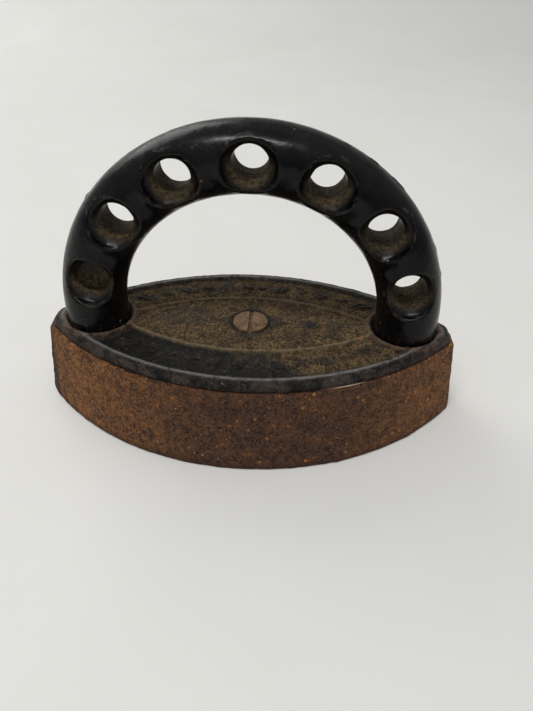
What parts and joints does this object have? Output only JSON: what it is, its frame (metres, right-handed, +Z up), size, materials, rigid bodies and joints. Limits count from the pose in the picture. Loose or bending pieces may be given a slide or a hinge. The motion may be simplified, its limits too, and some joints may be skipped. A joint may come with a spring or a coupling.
{
  "type": "clothes iron",
  "caption": "Antique cast-iron flat iron, pointed at both ends, with a screwed-on cover plate and an arched grip pierced by cooling holes.",
  "frame": {"origin": "middle of the sole's flat face, on the surface the iron stands on", "axes": "+X along the iron from tip to tip, +Y across it to the far side, +Z up through the centre screw"},
  "size_m": [0.1678, 0.0916, 0.1123],
  "materials": {
    "rusted_block": "rusted and pitted, brown with orange specks",
    "worn_japan": "black japan worn dull, with brown grime in the hollows",
    "glossy_japan": "glossy black japan, scuffed, brown at the lips of the holes",
    "liner_board": "pale fibrous heat board, soiled at the edge",
    "rusted_screw": "dull rusty brown"
  },
  "bodies": {
    "root": {"sole_base": "rusted_block", "heat_liner": "liner_board", "cover_plate": "worn_japan", "handle_arch": "glossy_japan", "centre_screw": "rusted_screw", "foot_screw_left": "rusted_screw", "foot_screw_right": "rusted_screw"}
  },
  "joints": []
}
